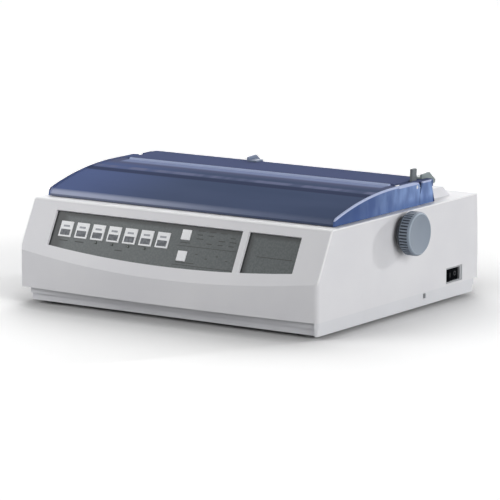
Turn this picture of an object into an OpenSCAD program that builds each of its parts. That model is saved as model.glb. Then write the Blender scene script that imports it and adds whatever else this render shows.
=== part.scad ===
// Dot matrix printer, 80 columns, nine-pin class. Millimetres, +Z up, front toward -Y, right side +X.
// The origin is on the resting plane, under the middle of the whole printer with its knob. The modules
// are drawn about the middle of the case, and placed() moves them.

/* [Case] */
// Width of the case
case_w = 398; // [390:1:410]
// Depth of the case at its foremost and rearmost points
case_d = 345; // [342:1:355]
// Height of the case top above the table
case_h = 116; // [115:1:122]
// Height of the lower case's underside above the table
foot_h = 4; // [3:0.5:4.5]
// Height of the joint between the upper and lower case
seam_z = 19; // [18:0.5:20]
// Thickness of the moulded case walls
wall = 3; // [2.6:0.1:3.4]
// How far the front face bows forward at its middle
front_bow = 7.2; // [5:0.1:9]
// Set-back of the top front edge from the foremost point
slope_back = 36.1; // [34:0.1:38]
// Angle of the sloped panel face from the vertical
slope_deg = 27.8; // [26:0.1:30]
// How far the rear face leans forward at the top
rear_draft = 6; // [4:0.5:8]
// Radius of the top front edge
edge_r = 6; // [5:0.5:8]
// Radius of the upright corners
corner_r = 5; // [4:0.5:8]
// Width of the opening in the case top
well_w = 366; // [360:1:368]
// Set-back of the lower case's front wall
base_front_inset = 7; // [4:0.5:9]
// Set-back of the lower case's rear wall
base_rear_inset = 12; // [9:0.5:15]
// Rubber foot radius
foot_r = 9; // [7:0.5:11]

/* [Covers] */
// Overall width of the smoked covers
cover_w = 383.4; // [380:0.2:386]
// Front edge of the access cover, from the case's middle
cover_front = 121; // [118:1:124]
// Highest line of the access cover
cover_top = 143.5; // [142.5:0.1:145]
// Radius of the access cover's long curve
cover_arc_r = 420; // [380:5:480]
// Rear lip of the access cover, from the case's middle
cover_lip_y = 18.5; // [17:0.5:20]
// Joint between the side walls of the access cover and the paper separator
side_joint_y = 53.5; // [52:0.5:55]
// Thickness of the smoked plastic
cover_t = 2.2; // [2:0.1:2.6]
// Front edge of the paper separator's sheet
separator_front = 28; // [27:0.5:30]
// Rear edge of the paper separator's sheet
separator_rear = 85.5; // [84:0.5:87]
// Top of the paper separator
separator_top = 142.2; // [141.6:0.1:142.6]
// Fin of the left paper guide, from the case's middle
guide_left_x = -52; // [-80:1:-40]
// Fin of the right paper guide
guide_right_x = 181; // [180:0.5:182]
// Length of a raised ear on the rear deck
ear_len = 46; // [40:1:50]
// Height of the raised ears above the case top
ear_h = 12; // [10:0.5:14]

/* [Control panel] */
// Width of a large key
key_w = 16.5; // [15:0.1:17.5]
// Length of a large key
key_l = 18; // [16:0.1:19]
// Spacing of the large keys
key_pitch = 22; // [21.6:0.1:22.4]
// Centre of the first large key
key_first_x = -146; // [-148:0.5:-145]
// Number of large keys
key_count = 7; // [7]
// Width of a small key
small_key_w = 11.6; // [10:0.1:13]
// Travel of every key
key_travel = 0.8; // [0.5:0.1:0.9]
// Thickness of the panel plates
panel_t = 2; // [1.6:0.1:2.4]
// White divider between the two panels, left edge and width
divider_x = 88; // [84:1:92]
divider_w = 8; // [6:0.5:10]

/* [Platen drive] */
// Height of the platen's axis
platen_z = 93.5; // [92.5:0.1:94]
// Position of the platen's axis from the case's middle
platen_y = 8; // [7:0.1:9]
// Radius of the rubber platen
platen_r = 15.2; // [14.8:0.05:15.4]
// Length of the platen
platen_len = 300; // [290:1:302]
// Radius of the platen shaft
shaft_r = 4; // [3.5:0.1:4.2]
// Radius of the platen knob
knob_r = 24.5; // [22:0.5:26]
// Thickness of the platen knob
knob_t = 18; // [16:0.5:20]
// Ribs round the platen knob
knob_ribs = 40; // [30:1:48]
// Gear module
gear_m = 1; // [1]
// Teeth of the platen gear and the line feed gear
platen_teeth = 36; // [36]
// Teeth of the motor pinion
pinion_teeth = 12; // [12]
// Teeth of the tractor idle gear
idle_teeth = 20; // [20]
// Teeth of the tractor gear
tractor_teeth = 24; // [24]
// Face width of the gears
gear_t = 6; // [5:0.5:7]
// Line feed motor, radius and length
feed_motor_r = 19; // [17:0.5:19.5]
feed_motor_len = 26; // [22:1:30]

/* [Frame and carriage] */
// Distance between the inner faces of the side frames
frame_in = 320; // [318:1:322]
// Thickness of the side frames
frame_t = 2; // [1.6:0.1:2.2]
// Radius of the carriage shaft
rod_r = 5; // [4.5:0.1:5.2]
// Carriage shaft position
rod_y = -42; // [-43:0.5:-41]
rod_z = 70; // [69:0.5:71]
// Rest position of the carriage
carriage_x = -104; // [-106:0.5:-102]
// Teeth of the space pinion
space_teeth = 18; // [18]
// Gap between the print head's nose and the platen
head_gap = 2.2; // [1.8:0.1:2.4]
// Width of the print head's body
head_w = 28; // [24:1:30]
// Cooling fins on the print head
head_fins = 6; // [4:1:7]
// Ribbon cartridge width
ribbon_w = 84; // [80:1:88]

/* [Tractors] */
// Distance of each tractor from the case's middle
tractor_x = 125; // [122:1:126]
// Tractor shaft position
tractor_y = 57; // [56.5:0.1:57]
tractor_z = 96; // [95.5:0.1:96]
// Pitch radius of the pin wheels
wheel_r = 10.1; // [9.8:0.1:10.3]
// Pins on each wheel
wheel_pins = 5; // [5]

/* [Levers, switch and ports] */
// Middle plane and top of the paper release lever
lever_x = 178; // [177:0.5:178.5]
lever_top = 155.5; // [150:0.5:158]
// Opening of the power switch: front edge, length, lower edge, height
switch_y = 100; // [98:1:102]
switch_l = 35; // [33:0.5:36]
switch_z = 21; // [20.5:0.5:22]
switch_h = 18; // [16:0.5:19]
// Power inlet middle
inlet_x = 150; // [148:1:152]
// Parallel port middle
port_x = -90; // [-110:1:-80]

/* [Hidden] */
$fn = 64;
run = 0.05;                 // running clearance of a shaft in its hole
fit = 0.01;                 // clearance between pieces fixed to each other
slack = 0.3;                // clearance between loose fitting pieces
y_front = -case_d / 2;
y_rear = case_d / 2;
half_w = case_w / 2;
bow_r = (half_w * half_w + front_bow * front_bow) / (2 * front_bow);
slope_top_y = y_front + slope_back;
slope_k = tan(slope_deg);
shell_bottom = seam_z - 0.1;  // the upper case meets the lower case here
floor_t = 3;
floor_top = foot_h + floor_t;

well_half = well_w / 2;
well_front = -cover_front + 9;
well_rear = separator_rear + 4;
entry_half = 150;
entry_rear = 136;
ear_out = 180;
ear_in = 152;
ear_front = 92;

smoke_blue = [0.36, 0.42, 0.58, 0.85];
cover_half = cover_w / 2;
cover_in = cover_half - cover_t;
cover_bottom = case_h + 0.8;
hinge_y = 49;               // axis of the access cover
hinge_z = 137.5;
separator_pin_y = 33;       // axis of the paper separator
separator_pin_z = 136;
hinge_pin_r = 2;
hinge_round = 5;            // cover's round end about its axis, clear of the paper separator
lug_t = 3;
lug_out = cover_in - 0.5;
lug_in = lug_out - lug_t;
flange_out = lug_in - 0.3;
lever_slot = [lever_x - 4, lever_x + 3];
separator_lip = 8;          // height of the separator's rear lip
guide_front = 73.5;         // front end of both paper guides, behind the release lever

panel_z = -wall - fit;      // outer face of the panel plates, below the slope's face
window_top = 11.8;          // distances down the slope from the top edge
window_low = 62.5;
window_half = 164;
window_arc_r = 1448;
key_down = 32;
small_keys = [[14.8, 22.8], [16, 47.2]];
light_down = 43.8;
light_r = 1.5;
light_x = [for (i = [2 : 5]) key_first_x + key_pitch * i + 0.8];
flange_gap = 0.05;          // a key's flange rests this far under the plate
key_flange_t = 1.2;
key_proud = 0.9;
key_switch_h = 4.8;       // height of a key switch on the panel board
board_t = 1.6;
key_bottom = panel_z - panel_t - flange_gap - key_flange_t;
panel_board_top = key_bottom - key_travel - 0.2 - key_switch_h;

frame_half = frame_in / 2;
frame_out = frame_half + frame_t;
chassis_z = 22;
chassis_t = 1.6;
frame_bottom = chassis_z + chassis_t;
platen_half = platen_len / 2;
gear_x = -frame_out - 20;   // outer ends of the drive gears' studs
gear_in = gear_x + gear_t + 0.5;
stud_r = 3;
pitch_platen = gear_m * platen_teeth / 2;
pitch_pinion = gear_m * pinion_teeth / 2;
pitch_idle = gear_m * idle_teeth / 2;
pitch_tractor = gear_m * tractor_teeth / 2;
feed_gear_z = platen_z - 2 * pitch_platen;
motor_z = feed_gear_z - 7.5;
motor_y = platen_y + sqrt(pow(pitch_platen + pitch_pinion, 2) - 7.5 * 7.5);
motor_shaft_r = 2;
// The tractor idle gear meshes with the platen gear and the tractor gear, below the line between them.
tractor_dist = norm([tractor_y - platen_y, tractor_z - platen_z]);
tractor_dir = atan2(tractor_z - platen_z, tractor_y - platen_y);
idle_a = pitch_platen + pitch_idle;
idle_b = pitch_tractor + pitch_idle;
idle_dir = tractor_dir - acos((idle_a * idle_a + tractor_dist * tractor_dist - idle_b * idle_b)
                              / (2 * idle_a * tractor_dist));
idle_y = platen_y + idle_a * cos(idle_dir);
idle_z = platen_z + idle_a * sin(idle_dir);

knob_in = half_w + 4.5;
bush_r = 7;
journal_r = 3.9;
square_w = 6;
rod_support_r = 3;
rod_support_y = 80;
rod_support_z = 92;

nose_y = platen_y - platen_r - head_gap;
rack_y = -84;               // pitch line of the space rack
rack_z = 50;
rack_h = 6;
pitch_space = gear_m * space_teeth / 2;
space_y = rack_y + pitch_space;
carriage_floor = rack_z + rack_h + 1;
carriage_floor_t = 3;
carriage_half = 24;
space_motor_r = 15;
cartridge_z = 89;
cartridge_t = 14;
cartridge_front = -102;
cartridge_rear = -58;

bail_r = 5.5;
bail_pivot_y = 34;
bail_pivot_z = 100;
bail_dir = 115;
bail_dist = platen_r + bail_r + slack;
bail_y = platen_y + bail_dist * cos(bail_dir);
bail_z = platen_z + bail_dist * sin(bail_dir);
bail_arm_x = frame_half - 6;

lever_pivot_y = 60;
lever_pivot_z = 70;
lever_t = 3.2;

switch_deep = 22;
inlet_z = 41;
port_z = 40;
rear_slope = rear_draft / (case_h - seam_z);

// ---------- helpers ----------

// Points of an arc in a plane.
function arc(cx, cy, r, a0, a1, n = 6) = [for (i = [0 : n]) let (a = a0 + (a1 - a0) * i / n)
    [cx + r * cos(a), cy + r * sin(a)]];

// A Y-Z outline carried along X, from x0 for a length.
module along_x(x0, len) {
    translate([x0, 0, 0]) rotate([90, 0, 90]) linear_extrude(height = len) children();
}

// A cylinder along X.
module rod_x(x0, x1, y, z, r) {
    translate([x0, y, z]) rotate([0, 90, 0]) cylinder(r = r, h = x1 - x0);
}

// A box given by its low corner and its high corner.
module box(a, b) {
    translate(a) cube(b - a);
}

// Children drawn on the sloped face: x across, y up the slope, z out of the face.
module on_slope() {
    translate([0, slope_top_y, case_h]) rotate([90 - slope_deg, 0, 0]) children();
}

// Plan outline of the case, inset by t: bowed front, rounded corners.
function plan(t) = let (
    hw = half_w - t,
    yr = y_rear - t,
    r = max(corner_r - t, 1),
    bow_y = y_front + bow_r,
    bow_in = bow_r - t,
    cy = bow_y - sqrt(pow(bow_in - r, 2) - pow(hw - r, 2)),
    a = atan2(cy - bow_y, hw - r))
    concat(arc(hw - r, yr - r, r, 0, 90), arc(r - hw, yr - r, r, 90, 180),
           arc(r - hw, cy, r, 180, 360 + 180 - a - 360, 4), arc(0, bow_y, bow_in, -180 - a, a, 24),
           arc(hw - r, cy, r, a, 0, 4));

// Side outline of the case, inset by t: sloped panel face, rounded top front edge, drafted rear.
function side_profile(t) = let (
    r = max(edge_r - t, 1),
    top = case_h - t,
    cz = top - r,
    cy = slope_top_y - (case_h - cz) * slope_k + (t + r) / cos(slope_deg),
    low_y = slope_top_y - case_h * slope_k + t / cos(slope_deg))
    concat([[low_y, 0]], arc(cy, cz, r, 180 - slope_deg, 90, 6),
           [[y_rear - rear_draft - t, top], [y_rear - t + rear_slope * seam_z, 0]]);

module case_form(t, z0) {
    intersection() {
        along_x(-half_w, case_w) polygon(side_profile(t));
        translate([0, 0, z0]) linear_extrude(height = case_h - z0) polygon(plan(t));
    }
}

// Spur gear outline. Involute flanks, with a tooth centred on the first axis turned by phase.
function involute(rb, r) = let (a = sqrt(max(r * r / (rb * rb) - 1, 0))) a * 180 / PI - atan(a);
function gear_points(teeth, phase) = let (
    rp = gear_m * teeth / 2,
    rb = rp * cos(20),
    ra = rp + 0.92 * gear_m,
    rf = rp - 1.2 * gear_m,
    half = 90 / teeth - 0.045 * 180 / PI / rp + involute(rb, rp),
    rs = [max(rb, rf + 0.1), (max(rb, rf + 0.1) + rp) / 2, rp, (rp + ra) / 2, ra])
    [for (i = [0 : teeth - 1]) let (c = phase + 360 * i / teeth)
        each concat([[rf, c - half]], [for (r = rs) [r, c - half + involute(rb, r)]],
                    [for (k = [4 : -1 : 0]) [rs[k], c + half - involute(rb, rs[k])]], [[rf, c + half]])];
function polar(points) = [for (p = points) [p[0] * cos(p[1]), p[0] * sin(p[1])]];

// Phase of gear b that meshes with gear a, which has a tooth at phase_a; dir points from a to b.
function meshed(teeth_a, phase_a, teeth_b, dir) =
    dir + 180 + 180 / teeth_b - (phase_a - dir) * teeth_a / teeth_b;

module gear_x(x0, y, z, teeth, phase) {
    translate([0, y, z]) along_x(x0, gear_t) polygon(polar(gear_points(teeth, phase)));
}

platen_phase = -90;
feed_phase = meshed(platen_teeth, platen_phase, platen_teeth, -90);
pinion_dir = atan2(motor_z - feed_gear_z, motor_y - platen_y);
pinion_phase = meshed(platen_teeth, feed_phase, pinion_teeth, pinion_dir);
idle_phase = meshed(platen_teeth, platen_phase, idle_teeth, idle_dir);
tractor_gear_dir = atan2(tractor_z - idle_z, tractor_y - idle_y);
tractor_phase = meshed(idle_teeth, idle_phase, tractor_teeth, tractor_gear_dir);

// ---------- case ----------

// Window over one panel, between x0 and x1; grow widens it for the plate behind.
module window(x0, x1, grow = 0) {
    intersection() {
        polygon([[x0 - grow, -window_top + grow], [x1 + grow, -window_top + grow],
                 [x1 + grow, -window_low - grow], [x0 - grow, -window_low - grow]]);
        translate([0, window_arc_r - window_low]) circle(r = window_arc_r + grow, $fn = 720);
    }
}

module left_window(grow = 0) {
    window(-window_half, divider_x, grow);
}

module right_window(grow = 0) {
    window(divider_x + divider_w, window_half, grow);
}

// Raised ear beside the rear paper entry; inset hollows it.
module ear(x0, x1, t) {
    along_x(x0 + t, x1 - x0 - 2 * t) polygon([
        [ear_front + t, case_h - wall - 1], [ear_front + t, case_h + ear_h - t],
        [ear_front + ear_len - 16 - t / 2, case_h + ear_h - t], [ear_front + ear_len - t, case_h],
        [ear_front + ear_len - t, case_h - wall - 1]]);
}

// Lug that carries the pins of both smoked covers; side is -1 or 1.
module hinge_lug(side) {
    x0 = side > 0 ? lug_in : -lug_out;
    along_x(x0, lug_t) polygon(concat(
        [[separator_pin_y - 4.5, case_h - 1]],
        arc(separator_pin_y, separator_pin_z, 4, 180, 90, 4),
        arc(hinge_y, hinge_z, 3.5, 90, 0, 4), [[hinge_y + 4, case_h - 1]]));
    pin_out = side > 0 ? lug_out : -cover_half + 0.2;
    rod_x(pin_out, pin_out + cover_t + 0.3, hinge_y, hinge_z, hinge_pin_r);
    pin_in = side > 0 ? lug_in - 3 : -lug_in;
    rod_x(pin_in, pin_in + 3, separator_pin_y, separator_pin_z, hinge_pin_r);
}

screw_places = [[-184, -130], [184, -130], [-184, 146], [184, 146]];
screw_r = 2;
boss_r = 5;

module upper_case() {
    color("whitesmoke") {
        difference() {
            union() {
                difference() {
                    case_form(0, shell_bottom);
                    case_form(wall, shell_bottom - 1);
                }
                // ledge under the rear wall, behind the lower case
                intersection() {
                    case_form(0, shell_bottom);
                    box([-half_w, y_rear - base_rear_inset - 2, shell_bottom],
                        [half_w, y_rear, shell_bottom + wall]);
                }
                for (s = [-1, 1]) ear(s > 0 ? ear_in : -ear_out, s > 0 ? ear_out : -ear_in, 0);
            }
            box([-well_half, well_front, case_h - wall - 2], [well_half, well_rear, case_h + 1]);
            box([-entry_half, 0, case_h - wall - 2], [entry_half, entry_rear, case_h + 1]);
            for (s = [-1, 1]) ear(s > 0 ? ear_in : -ear_out, s > 0 ? ear_out : -ear_in, 2);
            on_slope() translate([0, 0, -2 * wall]) linear_extrude(height = 4 * wall) {
                left_window();
                right_window();
            }
            rod_x(half_w - wall - 1, half_w + 1, platen_y, platen_z, shaft_r + 4);
            box([half_w - wall - 1, switch_y, switch_z], [half_w + 1, switch_y + switch_l, switch_z + switch_h]);
            inlet_cut();
            port_cut();
            // rear air slots
            for (i = [0 : 9]) box([-40 + 12 * i, y_rear - 12, 70], [-36 + 12 * i, y_rear + 1, 92]);
        }
        for (s = [-1, 1]) hinge_lug(s);
        for (p = screw_places) translate([p[0], p[1], shell_bottom]) difference() {
            cylinder(r = boss_r, h = case_h - wall + 0.3 - shell_bottom);
            translate([0, 0, -1]) cylinder(r = screw_r + fit, h = 16);
        }
    }
}

// Lower case wall outline: the side skirts reach the front, the front wall between them is set back.
skirt_w = 4;
left_cut = 12;              // the left skirt stops short behind a cut corner
left_cut_l = 28;
module base_plan(t, inset) {
    difference() {
        polygon(plan(t));
        translate([0, y_front - 100 + front_bow + inset]) square([case_w - 2 * skirt_w, 200], center = true);
        translate([-half_w, y_front]) square([left_cut, left_cut_l]);
        translate([-half_w, y_rear - base_rear_inset - t]) square([case_w, 100]);
    }
}

module lower_case() {
    color("gainsboro") {
        difference() {
            union() {
                translate([0, 0, 12]) linear_extrude(height = seam_z - 12 - 0.1)
                    base_plan(0, base_front_inset - 3);
                translate([0, 0, foot_h]) linear_extrude(height = 8) base_plan(1.2, base_front_inset);
            }
            translate([0, 0, floor_top]) linear_extrude(height = seam_z) difference() {
                polygon(plan(wall + 1));
                translate([0, y_front - 100 + front_bow + base_front_inset + wall])
                    square([case_w, 200], center = true);
                translate([-half_w, y_front]) square([left_cut + wall, left_cut_l + wall]);
                translate([-half_w, y_rear - base_rear_inset - wall - 1]) square([case_w, 100]);
            }
            box([half_w - wall - 2, 50.5, 12], [half_w + 1, 56, 18]);
            for (p = screw_places) translate([p[0], p[1], 0]) {
                cylinder(r = screw_r + 0.3, h = seam_z);
                cylinder(r = 4.5, h = foot_h + 1.5);
            }
            for (p = foot_places) translate([p[0], p[1], 0]) cylinder(r = foot_r + fit, h = foot_h + 1);
            // air slots in the floor
            for (i = [0 : 5]) box([62 + 16 * i, 70, 0], [68 + 16 * i, 130, floor_top + 1]);
        }
        for (p = screw_places) translate([p[0], p[1], floor_top - 0.5]) difference() {
            cylinder(r = boss_r, h = shell_bottom - floor_top + 0.5);
            translate([0, 0, -1]) cylinder(r = screw_r + 0.3, h = 20);
        }
        for (p = chassis_posts) translate([p[0], p[1], floor_top - 0.5])
            cylinder(r = 5, h = chassis_z - floor_top + 0.5);
        for (p = board_posts) translate([p[0], p[1], floor_top - 0.5])
            cylinder(r = 3, h = board_z - floor_top + 0.5);
    }
}

foot_places = [[-165, -140], [165, -140], [-165, 130], [165, 130]];

module rubber_feet() {
    color("dimgray") for (p = foot_places) translate([p[0], p[1], 0]) {
        cylinder(r = foot_r - 1.5, h = 1);
        translate([0, 0, 1]) cylinder(r = foot_r, h = foot_h);
    }
}

module case_screws() {
    color("silver") for (p = screw_places) translate([p[0], p[1], foot_h + 1.5 - 2.4]) {
        difference() {
            cylinder(r = 3.8, h = 2.4);
            translate([-0.5, -3, -1]) cube([1, 6, 1.8]);
        }
        translate([0, 0, 2.4]) cylinder(r = screw_r, h = 22);
    }
}

// ---------- control panel ----------

module plate(t0, t1) {
    translate([0, 0, t0]) linear_extrude(height = t1 - t0) children();
}

module key_hole(x, down, w, l, grow) {
    translate([x, -down]) square([w + 2 * grow, l + 2 * grow], center = true);
}

module control_panel() {
    color("dimgray") on_slope() plate(panel_z - panel_t, panel_z) difference() {
        intersection() {
            left_window(3);
            translate([-300, -100]) square([300 + divider_x + divider_w / 2 - 0.1, 200]);
        }
        for (i = [0 : key_count - 1])
            key_hole(key_first_x + key_pitch * i, key_down, key_w, key_l, slack);
        for (p = small_keys) key_hole(p[0], p[1], small_key_w, small_key_w, slack);
        for (x = light_x) translate([x, -light_down]) circle(r = light_r + 0.1, $fn = 24);
    }
}

module name_panel() {
    color("dimgray") on_slope() plate(panel_z - panel_t, panel_z) intersection() {
        right_window(3);
        translate([divider_x + divider_w / 2 + 0.1, -100]) square([300, 200]);
    }
}

// Key cap with the flange that holds it under the plate.
module key_cap(x, down, w, l) {
    on_slope() translate([x, -down, 0]) {
        translate([0, 0, (key_bottom + panel_z + key_proud) / 2])
            cube([w, l, panel_z + key_proud - key_bottom], center = true);
        translate([0, 0, key_bottom + key_flange_t / 2])
            cube([w + 2.4, l + 2.4, key_flange_t], center = true);
    }
}

module large_key(i) {
    color("silver") key_cap(key_first_x + key_pitch * (i - 1), key_down, key_w, key_l);
}

module small_key(i) {
    color("silver") key_cap(small_keys[i - 1][0], small_keys[i - 1][1], small_key_w, small_key_w);
}

module key_switch(x, down) {
    side = 6;
    translate([x - side / 2, -down - side / 2, panel_board_top]) cube([side, side, key_switch_h]);
}

// Board behind the keys, with one switch under each key and the indicator lights.
module panel_board() {
    color("darkgreen") on_slope() {
        difference() {
            plate(panel_board_top - board_t, panel_board_top) translate([-160, -60]) square([240, 50]);
            for (x = board_pillars) translate([x, -window_top, panel_board_top - 3]) cylinder(r = 1.5, h = 4);
        }
        for (i = [0 : key_count - 1]) key_switch(key_first_x + key_pitch * i, key_down);
        for (p = small_keys) key_switch(p[0], p[1]);
        for (x = light_x) translate([x, -light_down, panel_board_top])
            cylinder(r = light_r, h = panel_z - 0.3 - panel_board_top, $fn = 24);
        for (x = board_pillars) translate([x, -window_top, panel_board_top]) difference() {
            cylinder(r = 3, h = panel_z - panel_t - panel_board_top - fit);
            translate([0, 0, -1]) cylinder(r = 1, h = 6);
        }
    }
}
board_pillars = [-155, -25, 75];

// ---------- chassis ----------

chassis_posts = [[-150, -80], [150, -80], [-150, 75], [150, 75]];

module chassis_plate() {
    color("lightgray") difference() {
        box([-frame_out - 12, -98, chassis_z], [frame_out + 22, 90, chassis_z + chassis_t]);
        box([-110, -70, chassis_z - 1], [110, -10, chassis_z + chassis_t + 1]);
        for (p = chassis_posts) translate([p[0], p[1], chassis_z - 1]) cylinder(r = 1.8, h = 4);
    }
}

// Side frame outline, shared by both sides.
module frame_outline() {
    polygon([[-96, frame_bottom], [-96, 60], [-60, 80], [-24, 84], [-14, 108], [42, 108], [46, 112], [66, 112],
             [88, 100], [88, frame_bottom]]);
}

module frame_holes() {
    translate([rod_y, rod_z]) circle(r = rod_r + fit);
    translate([platen_y, platen_z]) circle(r = bush_r + fit);
    translate([tractor_y, tractor_z]) circle(r = journal_r + run);
    translate([rod_support_y, rod_support_z]) circle(r = rod_support_r + fit);
    translate([bail_pivot_y, bail_pivot_z]) circle(r = 2 + run);
    translate([-30, 34]) square([34, 22]);
}

module side_frame_left() {
    color("lightsteelblue") {
        along_x(-frame_out, frame_t) difference() {
            frame_outline();
            frame_holes();
            translate([motor_y, motor_z]) circle(r = pitch_pinion + 2);
            translate([62, 40]) square([18, 24]);
        }
        rod_x(gear_x, -frame_out + 0.5, platen_y, feed_gear_z, stud_r);
        rod_x(gear_x, -frame_out + 0.5, idle_y, idle_z, stud_r);
        box([-frame_out - 10, -90, frame_bottom], [-frame_out + 0.5, 84, frame_bottom + frame_t]);
    }
}

module side_frame_right() {
    color("lightsteelblue") {
        along_x(frame_half, frame_t) difference() {
            frame_outline();
            frame_holes();
            translate([26, 34]) square([24, 22]);
        }
        rod_x(frame_out - 0.5, lever_x + lever_t / 2 + 2, lever_pivot_y, lever_pivot_z, stud_r);
        box([frame_out - 0.5, -90, frame_bottom], [frame_out + 10, 84, frame_bottom + frame_t]);
    }
}

module carriage_shaft() {
    color("silver") rod_x(-frame_out - 3, frame_out + 8, rod_y, rod_z, rod_r);
}

// Rack between the side frames. Its teeth face the rear and mesh with the space pinion.
rack_pitch = PI * gear_m;
rack_first = carriage_x - rack_pitch * floor((frame_half + carriage_x - 4) / rack_pitch);
rack_count = floor((frame_half - 4 - rack_first) / rack_pitch);
rack_back = 8;              // depth of the rack behind its pitch line

module space_rack() {
    root = -1.2 * gear_m;
    tip = 0.9 * gear_m;
    color("darkgray") translate([0, rack_y, rack_z]) linear_extrude(height = rack_h) polygon(concat(
        [[-frame_half, -rack_back], [-frame_half, root]],
        [for (i = [0 : rack_count]) let (x = rack_first + rack_pitch * i)
            each [[x - 1.16, root], [x - 0.4, tip], [x + 0.4, tip], [x + 1.16, root]]],
        [[frame_half, root], [frame_half, -rack_back]]));
}

module platen_bushes() {
    bush_half = 3;
    collar_t = 1.5;
    color("white") for (s = [-1, 1]) difference() {
        union() {
            x_mid = s * (frame_half + frame_t / 2);
            x_collar = s > 0 ? frame_out + fit : -frame_out - collar_t - fit;
            rod_x(x_mid - bush_half, x_mid + bush_half, platen_y, platen_z, bush_r);
            rod_x(x_collar, x_collar + collar_t, platen_y, platen_z, bush_r + 2);
        }
        rod_x(-half_w, half_w, platen_y, platen_z, shaft_r + run);
    }
}

// Trough that carries the paper under the platen, with a ramp up to the tractors.
module paper_chute() {
    r0 = platen_r + 2;
    r1 = r0 + 1.8;
    ramp_end = [[43, 105.4], [43, 103.4]];
    color("dimgray") {
        along_x(-frame_half, frame_in) translate([platen_y, platen_z])
            polygon(concat(arc(0, 0, r0, -35, -140, 14), arc(0, 0, r1, -140, -35, 14)));
        along_x(-platen_half, platen_len)
            polygon(concat(arc(platen_y, platen_z, r0, -36, 15, 7), ramp_end, arc(platen_y, platen_z, r1, 15, -36, 7)));
    }
}

module line_feed_motor() {
    color("gray") {
        difference() {
            rod_x(-frame_half + fit, -frame_half + feed_motor_len, motor_y, motor_z, feed_motor_r);
            rod_x(-frame_half - 1, -frame_half + 15, motor_y, motor_z, motor_shaft_r + run);
        }
        along_x(-frame_half + fit, 1.5) difference() {
            translate([motor_y - 26, motor_z - 10]) square([52, 20]);
            translate([motor_y, motor_z]) circle(r = feed_motor_r - 1);
        }
    }
}

module tractor_rod() {
    color("silver") rod_x(-frame_out - 2, frame_out + 2, rod_support_y, rod_support_z, rod_support_r);
}

// ---------- electronics ----------

board_z = 12;
board_top = board_z + board_t;
board_posts = [[-165, 102], [-165, 146], [40, 102], [40, 146]];

module main_board() {
    color("darkgreen") {
        box([-172, 96, board_z], [50, 152, board_top]);
        // chips, finned heat sink and capacitors
        for (i = [0 : 3]) box([-60 + 26 * i, 112, board_top], [-42 + 26 * i, 138, board_top + 4]);
        box([-152, 100, board_top], [-146, 140, board_top + 34]);
        for (i = [0 : 5]) box([-147, 101 + 7 * i, board_top + 4], [-134, 102.4 + 7 * i, board_top + 34]);
        for (i = [0 : 1]) translate([32, 110 + 19 * i, board_top]) cylinder(r = 7, h = 26);
    }
}

module transformer() {
    color("slategray") {
        box([62, 100, floor_top], [122, 106, 12]);
        box([62, 138, floor_top], [122, 144, 12]);
        box([66, 100, 12], [118, 144, 52]);
        box([72, 92, 18], [112, 152, 46]);
    }
}

// Rear wall face at a height.
function rear_face(z) = y_rear - (z - seam_z) * rear_slope;

inlet_w = 27;
inlet_h = 20;
module inlet_cut() {
    box([inlet_x - inlet_w / 2 - slack, y_rear - 20, inlet_z - inlet_h / 2 - slack],
        [inlet_x + inlet_w / 2 + slack, y_rear + 2, inlet_z + inlet_h / 2 + slack]);
}

// Three-pin inlet: open socket toward the rear, with a foot down to the lower case.
module power_inlet() {
    y0 = rear_face(inlet_z) - 24;
    y1 = rear_face(inlet_z) + 0.8;
    color("black") {
        difference() {
            box([inlet_x - inlet_w / 2, y0, inlet_z - inlet_h / 2],
                [inlet_x + inlet_w / 2, y1, inlet_z + inlet_h / 2]);
            box([inlet_x - inlet_w / 2 + 1.5, y1 - 17, inlet_z - inlet_h / 2 + 1.5],
                [inlet_x + inlet_w / 2 - 1.5, y1 + 1, inlet_z + inlet_h / 2 - 1.5]);
        }
        box([inlet_x - 12, y0, floor_top], [inlet_x + 12, y0 + 4, inlet_z - inlet_h / 2 + 1]);
        for (p = [[-7, -2], [7, -2], [0, 2]])
            box([inlet_x + p[0] - 1, y1 - 18, inlet_z + p[1] - 2],
                [inlet_x + p[0] + 1, y1 - 5, inlet_z + p[1] + 2]);
    }
}

port_w = 72;
port_h = 15;
module port_cut() {
    box([port_x - port_w / 2 - slack, y_rear - 20, port_z - port_h / 2 - slack],
        [port_x + port_w / 2 + slack, y_rear + 2, port_z + port_h / 2 + slack]);
}

// Ribbon-type port: metal shell with a contact tongue, on legs down to the main board.
module parallel_port() {
    y0 = rear_face(port_z) - 14;
    y1 = rear_face(port_z) + 0.8;
    tongue_t = 3.2;
    color("silver") {
        difference() {
            box([port_x - port_w / 2, y0, port_z - port_h / 2], [port_x + port_w / 2, y1, port_z + port_h / 2]);
            box([port_x - port_w / 2 + 5, y1 - 10, port_z - port_h / 2 + 1.5],
                [port_x + port_w / 2 - 5, y1 + 1, port_z + port_h / 2 - 1.5]);
        }
        box([port_x - port_w / 2 + 8, y1 - 11, port_z - tongue_t / 2],
            [port_x + port_w / 2 - 8, y1 - 1.5, port_z + tongue_t / 2]);
        // foot on the main board
        box([port_x - 30, 144, board_top], [port_x + 30, 152, port_z]);
        box([port_x - 30, 144, port_z - 8], [port_x + 30, y0 + 2, port_z]);
    }
}

// ---------- power switch ----------

rocker_x = half_w - 3.4;
rocker_y = switch_y + switch_l / 2 - 1.5;
rocker_half = 13.5;

module switch_housing() {
    color("dimgray") difference() {
        box([half_w - switch_deep, switch_y + 0.2, switch_z + 0.2],
            [half_w - 0.6, switch_y + switch_l - 0.2, switch_z + switch_h - 0.2]);
        box([half_w - 14, rocker_y - rocker_half - 0.8, switch_z + 1.8],
            [half_w + 1, rocker_y + rocker_half + 0.8, switch_z + switch_h - 1.8]);
        translate([rocker_x, rocker_y, switch_z]) cylinder(r = 1.5 + run, h = switch_h);
    }
}

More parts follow.
